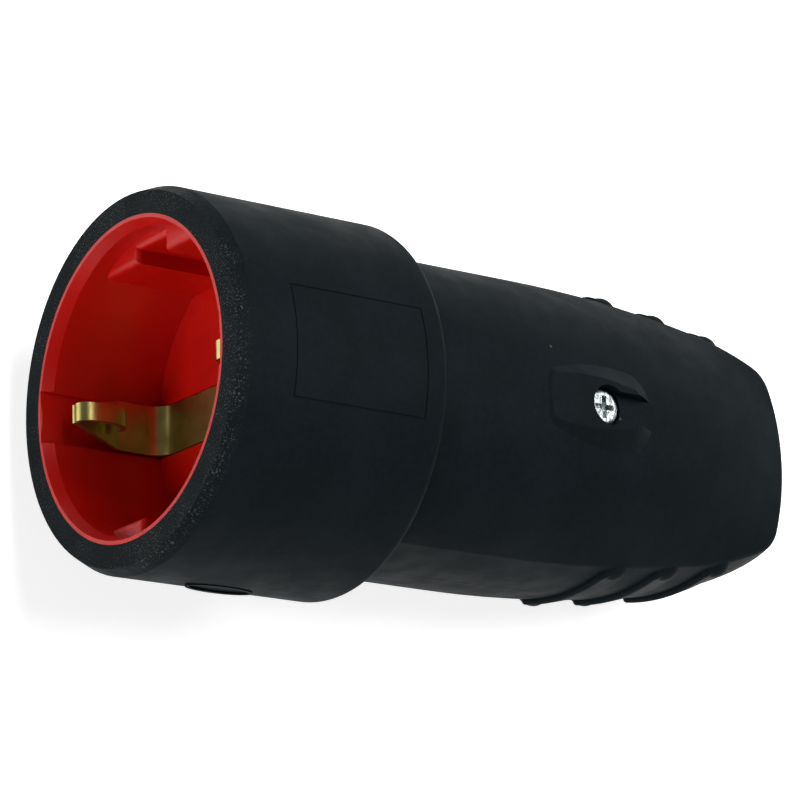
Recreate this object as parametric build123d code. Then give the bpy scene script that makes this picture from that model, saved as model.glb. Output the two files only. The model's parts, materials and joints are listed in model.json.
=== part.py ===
from build123d import *
import math
import os

# Rubber cable coupler: a socket for a round earthed plug, made to sit on the end of a lead.
# Every piece is modelled along the coupler's own axis: X runs from the mouth to the lead's
# entry, Z points up through the housing screw and Y lies across. At the end all the pieces
# are laid down together, the way the coupler rests on a table. Millimetres throughout.

# Cup: the round collar that surrounds the socket
cup_radius = 24.7
cup_length = 31.8
cup_bevel_depth = 0.8
cup_bevel_length = 2.0
cup_rear_rounding = 1.2
cup_wall = 3.8
cup_back = 3.8

# Grip seen from above: straight, then tapering in a long arc and a tighter one to the rear end
overall_length = 101.0
grip_step_side = 4.4
side_taper_share = 0.3208
side_drop_share = 0.2907
side_bend_share = 0.7688
side_bend_radius = 48.0
rear_arc_radius = 42.0
rear_corner_radius = 6.0
side_crown = 1.66
side_crown_height = 11.0

# Grip seen from the side: the wide faces' ridge, and the edges where they meet the sides
grip_step_crest = 3.6
crest_taper_share = 0.1763
crest_drop_share = 0.4664
edge_front_share = 0.455
edge_rear_share = 0.96
edge_rounding = 0.9
grip_overlap = 7.8
table_flat_depth = 0.25

# Hollow inside the grip, and the lead's entry
grip_side_wall = 4.3
grip_roof_wall = 5.6
cavity_corner = 3.5
cavity_end_share = 0.7832
entry_radius = 5.25
entry_flare = 1.0

# Finger ribs on the narrow sides: upright bars, highest along their front edge
rib_count = 3
rib_first_share = 0.5592
rib_pitch_share = 0.13
rib_front_share = 0.233
rib_rear_share = 0.256
rib_front_bow = 0.2
rib_rear_bow = 1.2
rib_shoulder_share = 0.38
rib_top_share = 0.455
rib_corner = 0.7
rib_rise = 0.85
rib_rounding = 0.45
rib_root = 3.0
rib_head_share = 0.39
rib_head_radius = 1.8
rib_head_rise = 0.85

# Raised pad round the housing screw, with its channel towards the rear
screw_place_share = 0.4175
pad_rise = 0.12
pad_front_reach = 9.65
pad_rear_reach = 6.05
pad_half_width = 3.5
pad_front_half_width = 3.0
pad_rear_half_width = 2.5
pad_front_bow = 0.5
pad_rear_bow = 1.5
pad_corner = 1.0
pad_depth = 4.0
pad_flank_angle = 54.0
pad_rounding = 0.35
channel_width = 4.0
channel_depth = 1.1
channel_reach = 9.3

# Panel outline sunk into the cup, and the gate mark under it
panel_front = 8.2
panel_rear = 3.4
panel_width = 14.6
panel_line = 0.3
panel_line_depth = 0.12
gate_place_share = 0.4717
gate_offset = -2.8
gate_length = 10.0
gate_width = 3.4
gate_lip = 0.5
gate_rise = 0.12
gate_sink = 0.15

# Socket insert: recess for the plug, its side guides and earth slots
insert_front = 0.0
insert_wall = 1.15
mouth_chamfer_length = 1.5
mouth_edge = 0.5
floor_thickness = 2.5
guide_height = 3.15
guide_front = 3.9
guide_gap = 6.0
guide_gap_depth = 1.9
guide_rounding = 0.8
earth_slot_width = 6.9
earth_slot_depth = 0.55
earth_channel_depth = 0.9
pin_spacing_share = 0.9620
pin_hole_radius = 2.9
pin_hole_chamfer = 0.6
skirt_length = 3.7
skirt_wall = 1.9
spigot_clearance = 0.1
boss_radius = 3.0
assembly_screw_inset = 4.74
assembly_screw_angle = 55.9

# Earth bracket: one brass strip, its heights given as depths below the recess wall
strip_thickness = 0.8
strip_width = 6.6
tongue_width = 2.4
arm_foot_inset = 0.65
arm_knee_share = 0.5979
arm_knee_inset = 0.85
arm_bend_radius = 3.0
tip_share = 0.1629
tip_inset = 3.05
crest_share = 0.2754
crest_inset = 5.45
tongue_end_share = 0.5507
tongue_end_inset = 2.25

# Line contacts: split brass sleeves with their terminal blocks
sleeve_inner_radius = 2.45
sleeve_outer_radius = 3.6
sleeve_length = 15.7
sleeve_slit = 0.8
sleeve_slit_length = 11.0
spring_start = 2.5
spring_length = 6.0
spring_thickness = 0.5
spring_gap = 1.6
terminal_gap = 1.5
terminal_length = 9.0
wire_hole_radius = 1.6
terminal_clearance = 0.1

# Contact carrier: plastic body behind the insert
flange_length = 4.0
body_wall = 1.1
body_roof = 2.5
tail_side_gap = 1.55
tail_bottom_gap = 1.3
tail_wall = 2.5
tail_floor = 2.5
tail_end_share = 0.6965
bridge_front_reach = 5.8
bridge_rear_reach = 5.7
bridge_top_inset = 9.1
bridge_height = 5.6

# Screws: thread radius, head radius and head height of each kind
housing_screw_radius = 1.75
housing_screw_head = 2.45
housing_head_height = 2.1
housing_head_sink = 1.25
housing_screw_length = 11.0
counterbore_clearance = 0.25
bush_radius = 2.9
small_screw_radius = 1.45
small_screw_head = 2.5
small_head_height = 1.6
small_screw_length = 9.0
terminal_screw_length = 5.0
recess_share = 0.62
recess_arm = 0.75

# Cord clamp: a saddle across the tail
clamp_place_share = 0.5954
clamp_length = 7.0
clamp_thickness = 3.0
clamp_arch_share = 0.43
clamp_rise_share = 0.19
clamp_screw_edge = 2.2
clamp_side_gap = 0.2

# Stations along the grip, measured back from the cup
grip_length = overall_length - cup_length
side_taper_start = cup_length + side_taper_share * grip_length
crest_taper_start = cup_length + crest_taper_share * grip_length
cavity_end = cup_length + cavity_end_share * grip_length
screw_place = cup_length + screw_place_share * grip_length
clamp_place = cup_length + clamp_place_share * grip_length
tail_end = cup_length + tail_end_share * grip_length
rib_first = cup_length + rib_first_share * grip_length
rib_pitch = rib_pitch_share * grip_length
grip_root = cup_length - grip_overlap

# The grip's two long arcs, from how far each has dropped at the rear
grip_half_width = cup_radius - grip_step_side
crest_height = cup_radius - grip_step_crest
side_taper_length = overall_length - side_taper_start
crest_taper_length = overall_length - crest_taper_start
side_drop = side_drop_share * grip_half_width
crest_drop = crest_drop_share * crest_height
side_arc_radius = (side_taper_length ** 2 + side_drop ** 2) / (2 * side_drop)
side_bend = cup_length + side_bend_share * grip_length
bend_angle = math.asin((side_bend - side_taper_start) / side_arc_radius)
bend_inside = side_arc_radius - side_bend_radius
bend_centre_x = side_taper_start + bend_inside * math.sin(bend_angle)
bend_centre_y = grip_half_width - side_arc_radius + bend_inside * math.cos(bend_angle)
crest_arc_radius = (crest_taper_length ** 2 + crest_drop ** 2) / (2 * crest_drop)
edge_height_front = edge_front_share * crest_height
edge_height_rear = edge_rear_share * (crest_height - crest_drop)


# How far an arc of this radius has dropped at a distance past its start
def arc_drop(x, start, radius):
    past = max(0.0, x - start)
    return radius - math.sqrt(radius * radius - past * past)


def side_at(x):
    if x <= side_bend:
        return grip_half_width - arc_drop(x, side_taper_start, side_arc_radius)
    return bend_centre_y + math.sqrt(side_bend_radius ** 2 - (x - bend_centre_x) ** 2)


# How far the narrow side has drawn in at a height above or below the middle
def crown_at(height):
    return side_crown * (height / side_crown_height) ** 2


def crest_at(x):
    return crest_height - arc_drop(x, crest_taper_start, crest_arc_radius)


# Height of the edge: straight from front to rear, and just under the crest beyond the end
def edge_height_at(x):
    share = max(0.0, (x - crest_taper_start) / crest_taper_length)
    height = edge_height_front + (edge_height_rear - edge_height_front) * share
    return min(height, edge_rear_share * crest_at(x))


# Radii and heights inside the cup
pocket_radius = cup_radius - cup_wall
pocket_depth = cup_length - cup_back
recess_radius = pocket_radius - insert_wall
skirt_inner_radius = pocket_radius - skirt_wall
skirt_end = pocket_depth - flange_length
floor_back = skirt_end - skirt_length
recess_floor = floor_back - floor_thickness
recess_depth = recess_floor - insert_front
channel_bottom = recess_floor + earth_channel_depth
guide_chord = recess_radius - guide_height
earth_slot_reach = recess_radius + earth_slot_depth
assembly_screw_reach = skirt_inner_radius - assembly_screw_inset
assembly_screw_y = assembly_screw_reach * math.cos(math.radians(assembly_screw_angle))
assembly_screw_z = assembly_screw_reach * math.sin(math.radians(assembly_screw_angle))

# Places of the contacts and of the carrier's parts
pin_offset = pin_spacing_share * recess_radius / 2
sleeve_end = floor_back + sleeve_length
terminal_end = sleeve_end + terminal_length
terminal_size = pin_offset - terminal_gap
body_half_width = pin_offset + terminal_size / 2 + body_wall
body_half_height = terminal_size / 2 + body_roof
body_end = terminal_end + body_wall
cavity_rear_half_width = side_at(cavity_end) - grip_side_wall
cavity_rear_half_height = crest_at(cavity_end) - grip_roof_wall
tail_half_width = cavity_rear_half_width - tail_side_gap
tail_bottom = cavity_rear_half_height - tail_bottom_gap
tail_seat = -tail_bottom + tail_floor
bridge_front = screw_place - bridge_front_reach
bridge_rear = screw_place + bridge_rear_reach
bridge_top = crest_at(screw_place) - bridge_top_inset
bridge_bottom = bridge_top - bridge_height

# Places of the pad, the screws and the clamp
pad_top = crest_height + pad_rise
screw_seat = pad_top - housing_head_sink - housing_head_height
pad_front = screw_place - pad_front_reach
pad_rear = screw_place + pad_rear_reach
rib_reach_front = rib_front_share * rib_pitch
rib_reach_rear = rib_rear_share * rib_pitch
rib_shoulder = rib_shoulder_share * crest_height
rib_top = rib_top_share * crest_height
rib_head_height = rib_head_share * crest_height
clamp_screw_y = tail_half_width - clamp_screw_edge
clamp_half_width = tail_half_width - clamp_side_gap
clamp_arch_radius = clamp_arch_share * tail_half_width
clamp_arch_rise = clamp_rise_share * tail_half_width


# Round bar along X, at a height and a distance across
def rod(radius, start, end, y=0.0, z=0.0):
    bar = Rot(0, 90, 0) * Cylinder(radius, end - start)
    return Pos((start + end) / 2, y, z) * bar


# Round bar along Z
def post(radius, bottom, top, x, y=0.0):
    return Pos(x, y, (bottom + top) / 2) * Cylinder(radius, top - bottom)


# Box between two limits on each axis
def block(x_limits, y_limits, z_limits):
    size = [high - low for low, high in (x_limits, y_limits, z_limits)]
    middle = [(high + low) / 2 for low, high in (x_limits, y_limits, z_limits)]
    return Pos(*middle) * Box(*size)


# Cone along X, from one radius to the other
def taper(start_radius, end_radius, start, end, y=0.0):
    cone = Rot(0, 90, 0) * Cone(start_radius, end_radius, end - start)
    return Pos((start + end) / 2, y, 0) * cone


# Plan outline of the grip: long arcs that tighten and a rear arc, with rounded rear corners
def plan_outline(inset):
    past = overall_length + rear_corner_radius
    half = side_at(past)
    start = side_taper_start
    edges = [Line((grip_root, -grip_half_width), (grip_root, grip_half_width)), Line((past, half), (past, -half))]
    for side in (-1, 1):
        edges.append(Line((grip_root, side * grip_half_width), (start, side * grip_half_width)))
        for first, last in ((start, side_bend), (side_bend, past)):
            points = [(x, side * side_at(x)) for x in (first, (first + last) / 2, last)]
            edges.append(ThreePointArc(*points))
    reach = rear_arc_radius + overall_length
    rear_disc = Pos(overall_length - rear_arc_radius, 0) * Circle(rear_arc_radius)
    rear_disc += Pos(overall_length - reach / 2 - rear_arc_radius, 0) * Rectangle(reach, 2 * rear_arc_radius)
    outline = make_face(edges) & rear_disc
    corners = outline.vertices().sort_by(Axis.X)[-2:]
    outline = fillet(corners, rear_corner_radius)
    if inset:
        outline = offset(outline, amount=-inset)
    return outline


# The narrow sides and rear end: the plan outline, drawn in above and below the middle
def plan_body():
    levels = [-2 * side_crown_height, -side_crown_height, 0, side_crown_height, 2 * side_crown_height]
    outlines = []
    for level in levels:
        outlines.append(Pos(0, 0, level) * plan_outline(crown_at(level)))
    return loft(outlines)


# One cross-section of the wide faces: an arc over the crest that passes through the edges
def wide_section(x):
    edge_y = side_at(x) - crown_at(edge_height_at(x))
    rise = crest_at(x) - edge_height_at(x)
    radius = (edge_y ** 2 + rise ** 2) / (2 * rise)
    reach = grip_half_width + 0.6
    side_z = crest_at(x) - radius + math.sqrt(radius ** 2 - reach ** 2)
    edges = [
        ThreePointArc((-reach, side_z), (0, crest_at(x)), (reach, side_z)),
        Line((reach, side_z), (reach, -side_z)),
        ThreePointArc((reach, -side_z), (0, -crest_at(x)), (-reach, -side_z)),
        Line((-reach, -side_z), (-reach, side_z)),
    ]
    plane = Plane(origin=(x, 0, 0), x_dir=(0, 1, 0), z_dir=(1, 0, 0))
    return plane * make_face(edges)


def wide_body():
    count = 7
    last = overall_length + 2
    places = [grip_root + (last - grip_root) * step / (count - 1) for step in range(count)]
    return loft([wide_section(x) for x in places])


def grip_body():
    body = plan_body() & wide_body()
    edges = body.edges().filter_by(lambda e: abs(e.center().Z) > 4 and e.center().X > grip_root + 0.5)
    return fillet(edges, edge_rounding)


# Outline of one finger rib, seen from the side: an upright bar with rounded ends
def rib_outline(place):
    front = place - rib_reach_front
    rear = place + rib_reach_rear
    middle = (front + rear) / 2
    outline = make_face([
        ThreePointArc((front, -rib_shoulder), (front + rib_front_bow, 0), (front, rib_shoulder)),
        ThreePointArc((front, rib_shoulder), (middle, rib_top), (rear, rib_shoulder)),
        ThreePointArc((rear, rib_shoulder), (rear + rib_rear_bow, 0), (rear, -rib_shoulder)),
        ThreePointArc((rear, -rib_shoulder), (middle, -rib_top), (front, -rib_shoulder)),
    ])
    return fillet(outline.vertices(), rib_corner)


# One rib of the near side: the bar stands out by swinging a copy of the plan body about its rear
def make_rib(place, plan):
    half = side_at(place)
    rear = place + rib_reach_rear + rib_rear_bow
    root = half - rib_root
    bar = extrude(Pos(0, -root, 0) * (Plane.XZ * rib_outline(place)), amount=2 * rib_root)
    swing = math.degrees(math.atan2(rib_rise, rear - place + rib_reach_front))
    hinge = Axis((rear, -side_at(rear), 0), (0, 0, 1))
    rib = bar & plan.rotate(hinge, swing)
    rim = rib.edges().filter_by(lambda e: e.center().Y < -root - 0.1 and abs(e.tangent_at(0.5).Y) < 0.7)
    rib = fillet(rim, rib_rounding)
    dome_radius = (rib_head_radius ** 2 + rib_head_rise ** 2) / (2 * rib_head_rise)
    for height in (-rib_head_height, rib_head_height):
        sink = half - crown_at(height) + rib_head_rise - dome_radius
        rib += Pos(place, -sink, height) * Sphere(dome_radius)
    return rib


# Cup as a turned shape: bevelled front, rounded rear
def cup_body():
    shoulder = cup_length - cup_rear_rounding
    low = cup_radius - cup_rear_rounding
    bow = cup_rear_rounding * math.sqrt(0.5)
    edges = [
        Line((0, 0), (0, cup_radius - cup_bevel_depth)),
        Line((0, cup_radius - cup_bevel_depth), (cup_bevel_length, cup_radius)),
        Line((cup_bevel_length, cup_radius), (shoulder, cup_radius)),
        ThreePointArc((shoulder, cup_radius), (shoulder + bow, low + bow), (cup_length, low)),
        Line((cup_length, low), (cup_length, 0)),
        Line((cup_length, 0), (0, 0)),
    ]
    return revolve(make_face(edges), Axis.X)


# Level pad on the sloping wide face, its flanks leaning outwards all round
def screw_pad():
    front = pad_front + pad_front_bow
    rear = pad_rear - pad_rear_bow
    middle = (front + rear) / 2
    outline = make_face([
        ThreePointArc((front, -pad_front_half_width), (pad_front, 0), (front, pad_front_half_width)),
        ThreePointArc((front, pad_front_half_width), (middle, pad_half_width), (rear, pad_rear_half_width)),
        ThreePointArc((rear, pad_rear_half_width), (pad_rear, 0), (rear, -pad_rear_half_width)),
        ThreePointArc((rear, -pad_rear_half_width), (middle, -pad_half_width), (front, -pad_front_half_width)),
    ])
    outline = fillet(outline.vertices(), pad_corner)
    pad = extrude(Pos(0, 0, pad_top) * outline, amount=-pad_depth, dir=(0, 0, 1), taper=-pad_flank_angle)
    rim = pad.edges().group_by(Axis.Z)[-1]
    return fillet(rim, pad_rounding)


# Channel from the screw hole rearwards, its floor running out into the wide face
def screw_channel():
    floor = pad_top - channel_depth
    end = screw_place + channel_reach
    side = make_face([
        Line((screw_place, floor), (end, crest_at(end))),
        Line((end, crest_at(end)), (end, pad_top + 2)),
        Line((end, pad_top + 2), (screw_place, pad_top + 2)),
        Line((screw_place, pad_top + 2), (screw_place, floor)),
    ])
    slab = extrude(Plane.XZ * side, amount=channel_width)
    return Pos(0, channel_width / 2, 0) * slab


# Fine sunk outline of the panel on the cup's upper side
def panel_groove():
    panel_length = cup_length - panel_front - panel_rear
    middle = panel_front + panel_length / 2
    frame = Rectangle(panel_length, panel_width)
    frame -= Rectangle(panel_length - 2 * panel_line, panel_width - 2 * panel_line)
    wall = extrude(Pos(middle, 0, 0) * frame, amount=cup_radius + 2)
    return wall - rod(cup_radius - panel_line_depth, 0, cup_length)


# Gate mark: a low oval lip with a shallow pocket, on the cup's near side
def gate_mark(grow, depth_in, depth_out):
    long_half = gate_length / 2 - grow
    short_half = gate_width / 2 - grow
    place = gate_place_share * cup_length
    oval = Plane.XZ * (Pos(place, gate_offset) * Ellipse(long_half, short_half))
    length = depth_in + depth_out
    return Pos(0, -(cup_radius - depth_in), 0) * extrude(oval, amount=length)


def cavity_body():
    front = Plane(origin=(pocket_depth - 0.5, 0, 0), x_dir=(0, 1, 0), z_dir=(1, 0, 0))
    rear = Plane(origin=(cavity_end, 0, 0), x_dir=(0, 1, 0), z_dir=(1, 0, 0))
    front_width = 2 * (grip_half_width - grip_side_wall)
    front_height = 2 * (crest_height - grip_roof_wall)
    front_face = front * RectangleRounded(front_width, front_height, cavity_corner)
    rear_face = rear * RectangleRounded(2 * cavity_rear_half_width, 2 * cavity_rear_half_height, cavity_corner)
    return loft([front_face, rear_face])


def make_housing():
    plan = plan_body()
    body = cup_body() + grip_body()
    for index in range(rib_count):
        rib = make_rib(rib_first + index * rib_pitch, plan)
        body += rib
        body += mirror(rib, Plane.XZ)
    body += screw_pad()
    body -= screw_channel()
    body += gate_mark(0.0, 1.0, gate_rise)
    body -= gate_mark(gate_lip, gate_sink, gate_rise + 1)
    body -= panel_groove()
    body -= rod(pocket_radius, -1, pocket_depth)
    pillar = post(housing_screw_head + 2.6, bridge_top, pad_top - 4, screw_place)
    body -= cavity_body() - pillar
    body -= rod(entry_radius, cavity_end - 1, overall_length + 1)
    body -= taper(entry_radius, entry_radius + entry_flare * 2, overall_length - entry_flare, overall_length + entry_flare)
    body -= post(housing_screw_head + counterbore_clearance, screw_seat, pad_top + 3, screw_place)
    body -= post(housing_screw_radius, bridge_top - 1, screw_seat + 1, screw_place)
    return body


# Red insert: recess, guides, slots, floor and a short skirt behind it
def make_socket_insert():
    body = rod(pocket_radius, insert_front, skirt_end)
    body -= rod(skirt_inner_radius, floor_back, skirt_end + 1)
    recess = rod(recess_radius, insert_front - 1, recess_floor)
    for side in (-1, 1):
        low, high = sorted((side * guide_chord, side * (recess_radius + 1)))
        guide = block((guide_front, recess_floor + 1), (low, high), (-recess_radius, recess_radius))
        low, high = sorted((side * (guide_chord - 1), side * (guide_chord + guide_gap_depth)))
        guide -= block((0, floor_back), (low, high), (-guide_gap / 2, guide_gap / 2))
        guide = fillet(guide.edges().group_by(Axis.X)[0], guide_rounding)
        recess -= guide
    body -= recess
    mouth_radius = pocket_radius - mouth_edge
    body -= taper(mouth_radius, recess_radius, insert_front, insert_front + mouth_chamfer_length)
    half_slot = earth_slot_width / 2
    reach = earth_slot_reach
    body -= block((insert_front - 1, channel_bottom), (-half_slot, half_slot), (-reach, reach))
    for side in (-1, 1):
        y = side * pin_offset
        body -= rod(pin_hole_radius, recess_floor - 1, floor_back + 1, y)
        wide = pin_hole_radius + pin_hole_chamfer
        body -= taper(wide, pin_hole_radius, recess_floor, recess_floor + pin_hole_chamfer, y)
        boss = rod(boss_radius, floor_back, skirt_end, side * assembly_screw_y, -side * assembly_screw_z)
        body += boss
        body -= rod(small_screw_radius, floor_back - 0.8, skirt_end + 1, side * assembly_screw_y,
                    -side * assembly_screw_z)
    body -= rod(small_screw_radius, recess_floor - 1, floor_back + 1)
    return body


# Earth bracket: one arm and its tongue follow their middle lines, and a mirrored copy faces them
def make_earth_bracket():
    half = strip_thickness / 2
    floor_line = recess_floor + half
    knee = insert_front + arm_knee_share * recess_depth
    tip = insert_front + tip_share * recess_depth
    crest = insert_front + crest_share * recess_depth
    tongue_end = insert_front + tongue_end_share * recess_depth
    foot_height = recess_radius - arm_foot_inset
    tip_height = recess_radius - tip_inset
    arm_path = FilletPolyline(
        (floor_line, 0), (floor_line, foot_height), (knee, recess_radius - arm_knee_inset),
        (tip, tip_height), radius=arm_bend_radius)
    arm = extrude(Plane.XZ * trace(arm_path, strip_thickness), amount=strip_width / 2, both=True)
    narrow = tongue_width / 2
    wide = strip_width / 2
    plan = make_face(Polyline(
        (tip - 2, -narrow), (tip - 2, narrow), (tip, narrow), (knee, wide), (floor_line + 2, wide),
        (floor_line + 2, -wide), (knee, -wide), (tip, -narrow), (tip - 2, -narrow)))
    arm = arm & extrude(plan, amount=foot_height + 5)
    tip_lift = tip_height - half
    tongue_path = Spline(
        (tip + 0.6, tip_lift + 0.75), (tip + 0.25, tip_lift - 0.6),
        (crest, recess_radius - crest_inset + half), (tongue_end, recess_radius - tongue_end_inset))
    tongue = extrude(Plane.XZ * trace(tongue_path, strip_thickness), amount=narrow, both=True)
    upper = arm + tongue
    body = upper + mirror(upper, Plane.XY)
    return body - rod(small_screw_radius, floor_line - 2, floor_line + 2)


# Split sleeve for a plug's pin, with the wire terminal as its rear end
def make_line_contact(side):
    y = side * pin_offset
    half = terminal_size / 2
    body = rod(sleeve_outer_radius, floor_back, sleeve_end, y)
    body -= block((floor_back - 1, floor_back + sleeve_slit_length), (y - half, y + half),
                  (-sleeve_slit / 2, sleeve_slit / 2))
    body += block((sleeve_end, terminal_end), (y - half, y + half), (-half, half))
    body -= rod(sleeve_inner_radius, floor_back - 1, sleeve_end - 1, y)
    body -= rod(wire_hole_radius, sleeve_end + 1.5, terminal_end + 1, y)
    body -= post(small_screw_radius, 0, half + 1, sleeve_end + terminal_length / 2, y)
    return body


def make_contact_spring(side):
    y = side * pin_offset
    start = floor_back + spring_start
    outer = sleeve_outer_radius + spring_thickness
    ring = rod(outer, start, start + spring_length, y) - rod(sleeve_outer_radius, start - 1, start + spring_length + 1, y)
    return ring - block((start - 1, start + spring_length + 1), (y - spring_gap / 2, y + spring_gap / 2), (0, outer + 1))


def make_earth_terminal():
    half = terminal_size / 2
    shank = small_screw_radius + 1.0
    body = rod(shank, floor_back, sleeve_end) + block((sleeve_end, terminal_end), (-half, half), (-half, half))
    body -= rod(small_screw_radius, floor_back - 1, floor_back + small_screw_length)
    body -= rod(wire_hole_radius, sleeve_end + 1.5, terminal_end + 1)
    return body - post(small_screw_radius, 0, half + 1, sleeve_end + terminal_length / 2)


# Plastic body: spigot and flange, a block with three chambers, and the tail with its bridge
def make_contact_carrier():
    body = rod(skirt_inner_radius - spigot_clearance, floor_back, skirt_end)
    body += rod(pocket_radius, skirt_end, pocket_depth)
    body += block((pocket_depth, body_end), (-body_half_width, body_half_width), (-body_half_height, body_half_height))
    tail = block((body_end, tail_end), (-tail_half_width, tail_half_width), (-tail_bottom, tail_seat))
    tail += block((pocket_depth, body_end + 1), (-tail_half_width, tail_half_width), (-tail_bottom, 0))
    for side in (-1, 1):
        low, high = sorted((side * (tail_half_width - tail_wall), side * tail_half_width))
        tail += block((body_end, bridge_rear), (low, high), (tail_seat, bridge_bottom))
    tail += block((bridge_front, bridge_rear), (-tail_half_width, tail_half_width), (bridge_bottom, bridge_top))
    body += tail
    half = terminal_size / 2 + terminal_clearance
    for y in (-pin_offset, 0, pin_offset):
        body -= block((sleeve_end, body_end + 1), (y - half, y + half), (-half + terminal_clearance, body_half_height + 1))
    bore = sleeve_outer_radius + spring_thickness + terminal_clearance
    for side in (-1, 1):
        body -= rod(bore, floor_back - 1, sleeve_end + 1, side * pin_offset)
        y = side * assembly_screw_y
        z = -side * assembly_screw_z
        body -= rod(boss_radius + spigot_clearance, floor_back - 1, skirt_end, y, z)
        body -= rod(small_screw_radius, skirt_end - 1, pocket_depth + 1, y, z)
        body -= post(small_screw_radius, -tail_bottom - 1, tail_seat + 1, clamp_place, side * clamp_screw_y)
    body -= rod(small_screw_radius + 1.0, floor_back - 1, sleeve_end + 1)
    body -= post(bush_radius, bridge_bottom - 1, bridge_top + 1, screw_place)
    return body


def make_thread_insert():
    return post(bush_radius, bridge_bottom, bridge_top, screw_place) - post(
        housing_screw_radius, bridge_bottom - 1, bridge_top + 1, screw_place)


# Screw pointing down from the origin: a rounded head with a cross recess, and a plain shank
def screw_shape(radius, head_radius, head_height, length):
    head = Pos(0, 0, head_height / 2) * Cylinder(head_radius, head_height)
    head = fillet(head.edges().group_by(Axis.Z)[-1], head_height * 0.3)
    reach = head_radius * recess_share
    depth = head_height * 0.6
    cross = Rectangle(2 * reach, recess_arm) + Rectangle(recess_arm, 2 * reach)
    head -= Pos(0, 0, head_height - depth) * extrude(cross, amount=depth + 1)
    shank = Pos(0, 0, -length / 2) * Cylinder(radius, length)
    shank = chamfer(shank.edges().group_by(Axis.Z)[0], radius * 0.35)
    return head + shank


def make_housing_screw():
    screw = screw_shape(housing_screw_radius, housing_screw_head, housing_head_height, housing_screw_length)
    return Pos(screw_place, 0, screw_seat) * screw


def make_terminal_screw(y):
    top = terminal_size / 2
    screw = screw_shape(small_screw_radius, small_screw_head, small_head_height, terminal_screw_length - 1)
    return Pos(sleeve_end + terminal_length / 2, y, top) * screw


def make_earth_screw():
    length = floor_thickness + small_screw_length - 2
    screw = screw_shape(small_screw_radius, small_screw_head, small_head_height, length)
    return Pos(recess_floor, 0, 0) * (Rot(0, -90, 0) * screw)


def make_assembly_screw(side):
    screw = screw_shape(small_screw_radius, small_screw_head, small_head_height, small_screw_length - 1)
    return Pos(pocket_depth, side * assembly_screw_y, -side * assembly_screw_z) * (Rot(0, 90, 0) * screw)


# Saddle that presses the lead on the tail, arched in the middle
def make_cord_clamp():
    front = clamp_place - clamp_length / 2
    rear = clamp_place + clamp_length / 2
    top = tail_seat + clamp_thickness
    bar = block((front, rear), (-clamp_half_width, clamp_half_width), (tail_seat, top))
    arch_radius = clamp_arch_radius + clamp_arch_rise
    bar += rod(arch_radius, front, rear, 0, tail_seat) & block((front, rear), (-20, 20), (tail_seat, 30))
    bar -= rod(clamp_arch_radius, front - 1, rear + 1, 0, tail_seat)
    for side in (-1, 1):
        bar -= post(small_screw_radius, tail_seat - 1, top + 1, clamp_place, side * clamp_screw_y)
    return bar


def make_clamp_screw(side):
    length = clamp_thickness + tail_floor - 0.3
    screw = screw_shape(small_screw_radius, small_screw_head - 0.3, small_head_height, length)
    return Pos(clamp_place, side * clamp_screw_y, tail_seat + clamp_thickness) * screw


# Tilt at which the cup's rear rounding and the underside's long arc both touch the table
def rest_tilt():
    across = crest_arc_radius - crest_height + cup_radius - cup_rear_rounding
    along = cup_length - cup_rear_rounding - crest_taper_start
    lift = crest_arc_radius - cup_rear_rounding
    return math.degrees(math.atan2(along, across) + math.acos(lift / math.hypot(across, along)))


def make_pieces():
    return {
        "housing": make_housing(),
        "socket_insert": make_socket_insert(),
        "earth_bracket": make_earth_bracket(),
        "earth_screw": make_earth_screw(),
        "earth_terminal": make_earth_terminal(),
        "line_contact_left": make_line_contact(1),
        "line_contact_right": make_line_contact(-1),
        "contact_spring_left": make_contact_spring(1),
        "contact_spring_right": make_contact_spring(-1),
        "contact_carrier": make_contact_carrier(),
        "thread_insert": make_thread_insert(),
        "housing_screw": make_housing_screw(),
        "terminal_screw_left": make_terminal_screw(pin_offset),
        "terminal_screw_right": make_terminal_screw(-pin_offset),
        "terminal_screw_earth": make_terminal_screw(0.0),
        "assembly_screw_left": make_assembly_screw(1),
        "assembly_screw_right": make_assembly_screw(-1),
        "cord_clamp": make_cord_clamp(),
        "clamp_screw_left": make_clamp_screw(1),
        "clamp_screw_right": make_clamp_screw(-1),
    }


# Where the laid-down housing has to go so that the origin is under its middle, on the table
def laid_place(housing):
    turned = Rot(0, rest_tilt(), 0)
    box = (turned * housing).bounding_box()
    middle = box.center()
    return Pos(-middle.X, -middle.Y, -box.min.Z - table_flat_depth) * turned


# The soft rubber is pressed flat where it lies on the table, under the cup and under the grip
def pressed_flat(housing, place):
    size = 3 * overall_length
    table = Pos(0, 0, -size / 2) * Box(size, size, size)
    return housing - place.inverse() * table


pieces = make_pieces()
place = laid_place(pieces["housing"])
pieces["housing"] = pressed_flat(pieces["housing"], place)
os.makedirs("parts", exist_ok=True)
for name, piece in pieces.items():
    export_step(place * piece, f"parts/{name}.step")
    print(name, "written")
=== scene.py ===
import json
import math

import bpy
from mathutils import Matrix, Quaternion, Vector

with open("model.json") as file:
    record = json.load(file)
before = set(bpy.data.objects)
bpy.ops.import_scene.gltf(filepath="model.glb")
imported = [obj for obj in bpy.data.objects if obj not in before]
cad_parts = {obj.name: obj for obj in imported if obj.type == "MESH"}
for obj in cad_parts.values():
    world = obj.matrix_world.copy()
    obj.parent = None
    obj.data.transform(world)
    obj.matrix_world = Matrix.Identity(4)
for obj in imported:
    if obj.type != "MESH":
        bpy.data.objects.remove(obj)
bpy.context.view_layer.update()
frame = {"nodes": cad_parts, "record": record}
nodes = frame["nodes"]
print("frame loaded with", len(nodes), "nodes")

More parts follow.
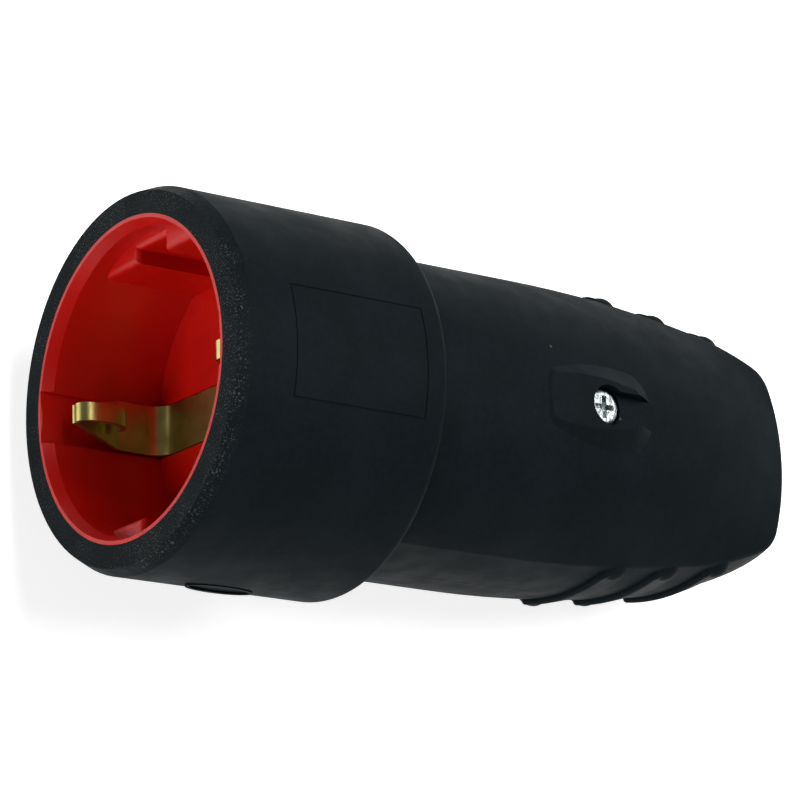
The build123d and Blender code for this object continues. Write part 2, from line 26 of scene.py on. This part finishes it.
# The coupler lies nose up by a few degrees, so its own axes come from these two values.
rest = {
    "tilt": 8.087881,  # degrees, mouth raised
    "mouthCentre": (-0.048502, 0.000060, 0.028521),  # metres
}
turn = Matrix.Rotation(math.radians(rest["tilt"]), 4, "Y")
toWorld = Matrix.Translation(rest["mouthCentre"]) @ turn
millimetres = 1000  # in a metre


def newMaterial(name):
    material = bpy.data.materials.new(name)
    material.use_nodes = True
    tree = material.node_tree
    shader = tree.nodes["Principled BSDF"]
    return material, tree, shader


def addNode(tree, kind, inputs=None, **settings):
    node = tree.nodes.new(kind)
    for key, value in settings.items():
        setattr(node, key, value)
    for key, value in (inputs or {}).items():
        if isinstance(value, bpy.types.NodeSocket):
            tree.links.new(value, node.inputs[key])
        else:
            node.inputs[key].default_value = value
    return node


def couplerMillimetres(tree):  # position along the coupler's own axes, in millimetres
    place = addNode(tree, "ShaderNodeTexCoord")
    back = toWorld.inverted()
    mapping = addNode(tree, "ShaderNodeMapping", {"Vector": place.outputs["Object"]})
    mapping.inputs["Rotation"].default_value = back.to_euler()
    mapping.inputs["Scale"].default_value = (millimetres, millimetres, millimetres)
    mapping.inputs["Location"].default_value = back.translation * millimetres
    return mapping.outputs["Vector"]


def ramp(tree, value, low, high, start=0.0, end=1.0):  # smooth step from start to end
    node = addNode(tree, "ShaderNodeMapRange", {"Value": value}, interpolation_type="SMOOTHSTEP")
    node.inputs["From Min"].default_value = low
    node.inputs["From Max"].default_value = high
    node.inputs["To Min"].default_value = start
    node.inputs["To Max"].default_value = end
    return node.outputs["Result"]


def combine(tree, operation, first, second):
    return addNode(tree, "ShaderNodeMath", {0: first, 1: second}, operation=operation).outputs[0]


def blendColour(tree, share, first, second):
    node = addNode(tree, "ShaderNodeMix", data_type="RGBA")
    for key, value in (("Factor", share), (6, first), (7, second)):
        if isinstance(value, bpy.types.NodeSocket):
            tree.links.new(value, node.inputs[key])
        elif isinstance(value, tuple):
            node.inputs[key].default_value = (*value, 1.0)
        else:
            node.inputs[key].default_value = value
    return node.outputs[2]


def noise(tree, place, scale, detail=3.0, roughness=0.5):
    inputs = {"Vector": place, "Scale": scale, "Detail": detail, "Roughness": roughness}
    return addNode(tree, "ShaderNodeTexNoise", inputs).outputs["Fac"]


housingRubber = {
    "colour": (0.0058, 0.0090, 0.0106),
    "paler": (0.0076, 0.0116, 0.0137),
    "dust": (0.16, 0.15, 0.14),
    "roughness": 0.58,
    "shine": 0.025,
    "cloudScale": 0.09,  # all the noise scales are cells per millimetre
    "cloudShare": 0.6,
    "mottleScale": 1.3,
    "rimFades": (2.2, 0.4),  # millimetres behind the mouth, where the handled rim's dust ends and is full
    "patchScale": 0.16,
    "dustScale": 4.5,
    "dustFades": (0.55, 0.72),
    "dustCover": 0.9,
    "dustDulls": 0.3,
    "speckScale": 0.11,
    "speckFades": (0.034, 0.016),
    "speckCover": 0.4,
    "sheenScale": 0.25,
    "seamFades": (0.22, 0.05),  # millimetres from the parting plane
    "seamEnds": (67.5, 66.8),  # millimetres behind the mouth, before the ribs
    "seamHeight": 0.16,
    "grainSize": 0.35,  # millimetres
    "grainHeight": 0.10,
    "bump": 0.5,
    "bumpDistance": 0.0005,  # metres
}


def makeRubber(values):
    material, tree, shader = newMaterial("housingRubber")
    place = couplerMillimetres(tree)
    share = values["cloudShare"]
    cloudy = combine(tree, "MULTIPLY", noise(tree, place, values["cloudScale"], 4.0), share)
    mottled = combine(tree, "MULTIPLY", noise(tree, place, values["mottleScale"], 4.0), 1 - share)
    flow = ramp(tree, combine(tree, "ADD", cloudy, mottled), 0.35, 0.65)
    colour = blendColour(tree, flow, values["colour"], values["paler"])
    split = addNode(tree, "ShaderNodeSeparateXYZ", {0: place})
    rim = ramp(tree, split.outputs["X"], *values["rimFades"])
    patch = ramp(tree, noise(tree, place, values["patchScale"], 3.0), 0.40, 0.62, 0.25, 1.0)
    fine = ramp(tree, noise(tree, place, values["dustScale"], 3.0, 0.6), *values["dustFades"])
    bloom = combine(tree, "MULTIPLY", combine(tree, "MULTIPLY", rim, patch), fine)
    cells = addNode(tree, "ShaderNodeTexVoronoi", {"Vector": place, "Scale": values["speckScale"]})
    speck = ramp(tree, cells.outputs["Distance"], *values["speckFades"], 0.0, values["speckCover"])
    dusty = combine(tree, "MAXIMUM", combine(tree, "MULTIPLY", bloom, values["dustCover"]), speck)
    colour = blendColour(tree, dusty, colour, values["dust"])
    tree.links.new(colour, shader.inputs["Base Color"])
    sheen = noise(tree, place, values["sheenScale"], 5.0)
    patchy = ramp(tree, sheen, 0.3, 0.7, values["roughness"] - 0.05, values["roughness"] + 0.06)
    dulled = combine(tree, "MULTIPLY", dusty, values["dustDulls"])
    tree.links.new(combine(tree, "ADD", patchy, dulled), shader.inputs["Roughness"])
    grain = noise(tree, place, 1 / values["grainSize"], 3.0, 0.6)
    offset = addNode(tree, "ShaderNodeMath", {0: split.outputs["Z"]}, operation="ABSOLUTE").outputs[0]
    line = ramp(tree, offset, *values["seamFades"])
    outside = ramp(tree, split.outputs["X"], *values["seamEnds"])
    seam = combine(tree, "MULTIPLY", line, outside)
    grainPart = combine(tree, "MULTIPLY", grain, values["grainHeight"])
    seamPart = combine(tree, "MULTIPLY", seam, values["seamHeight"])
    height = combine(tree, "ADD", grainPart, seamPart)
    relief = {"Height": height, "Strength": values["bump"], "Distance": values["bumpDistance"]}
    bump = addNode(tree, "ShaderNodeBump", relief)
    tree.links.new(bump.outputs["Normal"], shader.inputs["Normal"])
    shader.inputs["Specular IOR Level"].default_value = values["shine"]
    return material


insertPlastic = {
    "colour": (0.56, 0.0050, 0.0015),
    "deeper": (0.49, 0.0036, 0.0012),
    "roughness": 0.36,
    "shine": 0.30,
    "flowScale": 0.12,
    "sheenScale": 0.5,
    "peelScale": 1.4,
    "bump": 0.12,
}


def makeInsertPlastic(values):
    material, tree, shader = newMaterial("insertPlastic")
    place = couplerMillimetres(tree)
    flow = ramp(tree, noise(tree, place, values["flowScale"], 3.0), 0.35, 0.65)
    tree.links.new(blendColour(tree, flow, values["colour"], values["deeper"]), shader.inputs["Base Color"])
    sheen = noise(tree, place, values["sheenScale"], 4.0)
    dull = ramp(tree, sheen, 0.3, 0.7, values["roughness"] - 0.04, values["roughness"] + 0.06)
    tree.links.new(dull, shader.inputs["Roughness"])
    orangePeel = noise(tree, place, values["peelScale"], 2.0)
    relief = {"Height": orangePeel, "Strength": values["bump"], "Distance": 0.0003}
    bump = addNode(tree, "ShaderNodeBump", relief)
    tree.links.new(bump.outputs["Normal"], shader.inputs["Normal"])
    shader.inputs["Specular IOR Level"].default_value = values["shine"]
    return material


def makeMetal(name, values):
    material, tree, shader = newMaterial(name)
    place = couplerMillimetres(tree)
    stretch = addNode(tree, "ShaderNodeMapping", {"Vector": place, "Scale": values["grain"]})
    drawn = noise(tree, stretch.outputs["Vector"], 1.0, 4.0, 0.6)
    stain = ramp(tree, noise(tree, place, values["stainScale"], 4.0), 0.38, 0.68)
    tree.links.new(blendColour(tree, stain, values["colour"], values["stained"]), shader.inputs["Base Color"])
    smooth, rough = values["roughness"] - values["uneven"], values["roughness"] + values["uneven"]
    tree.links.new(ramp(tree, drawn, 0.3, 0.7, smooth, rough), shader.inputs["Roughness"])
    bump = addNode(tree, "ShaderNodeBump", {"Height": drawn, "Strength": values["bump"], "Distance": 0.0002})
    tree.links.new(bump.outputs["Normal"], shader.inputs["Normal"])
    shader.inputs["Metallic"].default_value = 1.0
    return material


earthBrass = {
    "colour": (0.52, 0.46, 0.16),
    "stained": (0.38, 0.32, 0.10),
    "stainScale": 0.22,
    "roughness": 0.33,
    "uneven": 0.02,
    "grain": (0.3, 1.2, 0.3),
    "bump": 0.02,
}
terminalBrass = {
    "colour": (0.66, 0.49, 0.19),
    "stained": (0.50, 0.36, 0.12),
    "stainScale": 0.30,
    "roughness": 0.34,
    "uneven": 0.07,
    "grain": (0.8, 2.5, 2.5),
    "bump": 0.2,
}
screwZinc = {
    "colour": (0.66, 0.73, 0.73),
    "stained": (0.30, 0.34, 0.33),
    "stainScale": 1.3,
    "roughness": 0.40,
    "uneven": 0.14,
    "grain": (1.6, 1.6, 1.6),
    "bump": 0.9,
}
springSteel = {
    "colour": (0.52, 0.53, 0.55),
    "stained": (0.36, 0.37, 0.40),
    "stainScale": 0.30,
    "roughness": 0.25,
    "uneven": 0.07,
    "grain": (0.5, 3.0, 3.0),
    "bump": 0.15,
}
carrierPlastic = {
    "colour": (0.055, 0.055, 0.057),
    "paler": (0.085, 0.085, 0.088),
    "roughness": 0.55,
    "flowScale": 0.2,
    "grainScale": 3.0,
    "bump": 0.25,
}


def makeCarrierPlastic(values):
    material, tree, shader = newMaterial("carrierPlastic")
    place = couplerMillimetres(tree)
    flow = ramp(tree, noise(tree, place, values["flowScale"], 4.0), 0.35, 0.65)
    tree.links.new(blendColour(tree, flow, values["colour"], values["paler"]), shader.inputs["Base Color"])
    fine = noise(tree, place, values["grainScale"], 3.0)
    dull = ramp(tree, fine, 0.3, 0.7, values["roughness"] - 0.05, values["roughness"] + 0.05)
    tree.links.new(dull, shader.inputs["Roughness"])
    bump = addNode(tree, "ShaderNodeBump", {"Height": fine, "Strength": values["bump"], "Distance": 0.0003})
    tree.links.new(bump.outputs["Normal"], shader.inputs["Normal"])
    return material


finishes = {
    "housing_rubber": makeRubber(housingRubber),
    "insert_plastic": makeInsertPlastic(insertPlastic),
    "earth_brass": makeMetal("earthBrass", earthBrass),
    "terminal_brass": makeMetal("terminalBrass", terminalBrass),
    "screw_steel": makeMetal("screwZinc", screwZinc),
    "spring_steel": makeMetal("springSteel", springSteel),
    "carrier_plastic": makeCarrierPlastic(carrierPlastic),
}
for part in frame["record"]["subparts"]:
    node = nodes[part["node"]]
    node.data.materials.clear()
    node.data.materials.append(finishes[part["material_slot"]])
print("finishes on", len(nodes), "nodes")

studio = {
    "floorRadius": 3.0,
    "floorSides": 64,
    "backdropHeight": 0.5,
    "floorColour": (0.80, 0.80, 0.80),
    "floorGlow": 0.75,
    "worldStrength": 0.10,
    "lampTarget": (0, 0, 0.03),
    "keyPlace": (0.40, 0.40, 1.28),
    "keySize": 1.2,
    "keyPower": 23.0,
    "fillPlace": (-1.22, -0.80, 0.26),
    "fillSize": 1.1,
    "fillPower": 13.5,
}


def makeFloor(values):  # round floor with a low backdrop all round, in one white paper
    count = values["floorSides"]
    radius = values["floorRadius"]
    ring = [2 * math.pi * step / count for step in range(count)]
    corners = [(radius * math.cos(angle), radius * math.sin(angle)) for angle in ring]
    points = [(x, y, 0) for x, y in corners] + [(x, y, values["backdropHeight"]) for x, y in corners]
    faces = [tuple(range(count))]
    faces += [(step, count + step, count + (step + 1) % count, (step + 1) % count) for step in range(count)]
    mesh = bpy.data.meshes.new("floor")
    mesh.from_pydata(points, [], faces)
    floor = bpy.data.objects.new("floor", mesh)
    bpy.context.scene.collection.objects.link(floor)
    material = bpy.data.materials.new("floorPaper")
    material.use_nodes = True
    tree = material.node_tree
    tree.nodes.remove(tree.nodes["Principled BSDF"])
    matte = addNode(tree, "ShaderNodeBsdfDiffuse", {"Color": (*values["floorColour"], 1.0)})
    glow = addNode(tree, "ShaderNodeEmission", {"Strength": values["floorGlow"]})
    bright = addNode(tree, "ShaderNodeAddShader", {0: matte.outputs[0], 1: glow.outputs[0]})
    path = addNode(tree, "ShaderNodeLightPath")
    seen = combine(tree, "MAXIMUM", path.outputs["Is Camera Ray"], path.outputs["Is Transmission Ray"])
    seen = combine(tree, "MAXIMUM", seen, path.outputs["Is Glossy Ray"])
    mixed = addNode(tree, "ShaderNodeMixShader", {0: seen, 1: matte.outputs[0], 2: bright.outputs[0]})
    tree.links.new(mixed.outputs[0], tree.nodes["Material Output"].inputs["Surface"])
    mesh.materials.append(material)


def makeWorld(values):  # even, dim room light
    world = bpy.data.worlds.new("studio")
    world.use_nodes = True
    bpy.context.scene.world = world
    background = world.node_tree.nodes["Background"]
    background.inputs["Color"].default_value = (1, 1, 1, 1)
    background.inputs["Strength"].default_value = values["worldStrength"]


def makeLamp(name, place, target, size, power):
    lamp = bpy.data.lights.new(name, "AREA")
    lamp.shape = "DISK"
    lamp.size = size
    lamp.energy = power
    holder = bpy.data.objects.new(name, lamp)
    holder.location = place
    holder.visible_camera = False
    holder.rotation_mode = "QUATERNION"
    holder.rotation_quaternion = (Vector(target) - Vector(place)).to_track_quat("-Z", "Y")
    bpy.context.scene.collection.objects.link(holder)


makeFloor(studio)
makeWorld(studio)
makeLamp("keyLamp", studio["keyPlace"], studio["lampTarget"], studio["keySize"], studio["keyPower"])
makeLamp("fillLamp", studio["fillPlace"], studio["lampTarget"], studio["fillSize"], studio["fillPower"])
print("floor and lamps ready")

cameraView = {
    "place": (-0.253742, -0.142004, 0.461393),
    "target": (-0.027213, -0.008886, 0.059692),
    "roll": 61.658,  # degrees
    "lens": 180.0,  # millimetres, as the sensor
    "sensor": 36,
}


def makeCamera(values):
    data = bpy.data.cameras.new("viewCamera")
    data.lens = values["lens"]
    data.sensor_width = values["sensor"]
    data.clip_start = 0.01
    data.clip_end = 50
    camera = bpy.data.objects.new("viewCamera", data)
    place = Vector(values["place"])
    camera.location = place
    camera.rotation_mode = "QUATERNION"
    look = (Vector(values["target"]) - place).to_track_quat("-Z", "Y")
    camera.rotation_quaternion = look @ Quaternion((0, 0, 1), math.radians(values["roll"]))
    bpy.context.scene.collection.objects.link(camera)
    bpy.context.scene.camera = camera


makeCamera(cameraView)
bpy.context.scene.view_settings.view_transform = "Standard"
print("camera ready")
